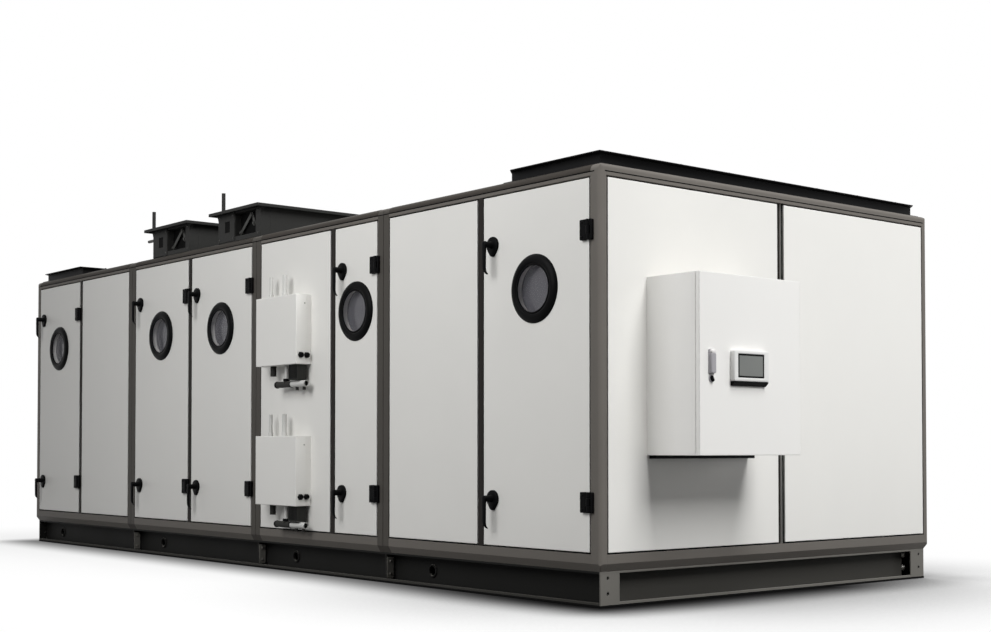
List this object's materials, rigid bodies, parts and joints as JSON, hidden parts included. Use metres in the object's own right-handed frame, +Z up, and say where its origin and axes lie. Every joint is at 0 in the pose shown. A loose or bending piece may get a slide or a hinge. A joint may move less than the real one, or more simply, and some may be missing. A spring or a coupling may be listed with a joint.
{
  "type": "air handling unit",
  "caption": "Long modular air handling unit on a channel base, with hinged round-window doors, roof dampers, duct collars, wall-hung valve boxes and a control box.",
  "frame": {"origin": "centre of the unit's box, on the floor", "axes": "+X along the unit towards the control box end, -Y is the service side with the doors, +Z up"},
  "size_m": [6.694, 2.62, 2.326],
  "materials": {
    "frame_paint": "satin powder coat",
    "base_paint": "satin powder coat",
    "panel_paint": "satin powder coat",
    "collar_paint": "satin black",
    "damper_paint": "satin",
    "damper_blade": "mill finish",
    "linkage_steel": "zinc plated",
    "valve_box_paint": "satin powder coat",
    "pipe_white": "white sleeve",
    "seal_rubber": "matte",
    "black_plastic": "fine texture",
    "box_paint": "satin powder coat",
    "handle_grey": "satin",
    "touch_plastic": "satin",
    "screen_glass": "dark display",
    "window_glass": "clear"
  },
  "bodies": {
    "casing": {"base_side_channels": "base_paint", "base_end_channels": "base_paint", "base_cross_members": "base_paint", "bottom_rails": "frame_paint", "top_rails": "frame_paint", "corner_posts": "frame_paint", "section_posts": "frame_paint", "mullions": "frame_paint", "front_panels": "panel_paint", "back_panels": "panel_paint", "end_panels": "panel_paint", "roof_panels": "panel_paint", "floor_panels": "panel_paint", "roof_collars": "collar_paint", "damper_frames": "damper_paint", "damper_flanges": "damper_paint", "damper_blades": "damper_blade", "damper_linkages": "linkage_steel", "valve_boxes": "valve_box_paint", "valve_pipes": "pipe_white", "valve_fittings": "black_plastic", "door_seals": "seal_rubber", "hinge_posts": "black_plastic", "control_box": "box_paint"},
    "control_box_door": {"control_box_door": "box_paint", "control_box_handle": "handle_grey", "touch_panel": "touch_plastic", "touch_screen": "screen_glass"},
    "door_1": {"door_1_leaf": "panel_paint", "door_1_window_ring": "black_plastic", "door_1_window_glass": "window_glass", "door_1_fittings": "black_plastic"},
    "door_2": {"door_2_leaf": "panel_paint", "door_2_window_ring": "black_plastic", "door_2_window_glass": "window_glass", "door_2_fittings": "black_plastic"},
    "door_3": {"door_3_leaf": "panel_paint", "door_3_window_ring": "black_plastic", "door_3_window_glass": "window_glass", "door_3_fittings": "black_plastic"},
    "door_4": {"door_4_leaf": "panel_paint", "door_4_window_ring": "black_plastic", "door_4_window_glass": "window_glass", "door_4_fittings": "black_plastic"},
    "door_5": {"door_5_leaf": "panel_paint", "door_5_window_ring": "black_plastic", "door_5_window_glass": "window_glass", "door_5_fittings": "black_plastic"}
  },
  "joints": [
    {"name": "door_1_hinge", "type": "hinge", "parent": "casing", "child": "door_1", "pos_m": [-2.559, -1.222, 1.093], "axis": [0, 0, 1], "range_deg": [0, 110]},
    {"name": "door_2_hinge", "type": "hinge", "parent": "casing", "child": "door_2", "pos_m": [-0.879, -1.222, 1.093], "axis": [0, 0, 1], "range_deg": [0, 110]},
    {"name": "door_3_hinge", "type": "hinge", "parent": "casing", "child": "door_3", "pos_m": [-0.073, -1.222, 1.093], "axis": [0, 0, 1], "range_deg": [0, 110]},
    {"name": "door_4_hinge", "type": "hinge", "parent": "casing", "child": "door_4", "pos_m": [1.257, -1.222, 1.093], "axis": [0, 0, 1], "range_deg": [0, 110]},
    {"name": "door_5_hinge", "type": "hinge", "parent": "casing", "child": "door_5", "pos_m": [2.929, -1.222, 1.093], "axis": [0, 0, 1], "range_deg": [0, 110]},
    {"name": "control_box_hinge", "type": "hinge", "parent": "casing", "child": "control_box_door", "pos_m": [3.297, -0.201, 1.0995], "axis": [0, 0, 1], "range_deg": [0, 110]}
  ]
}
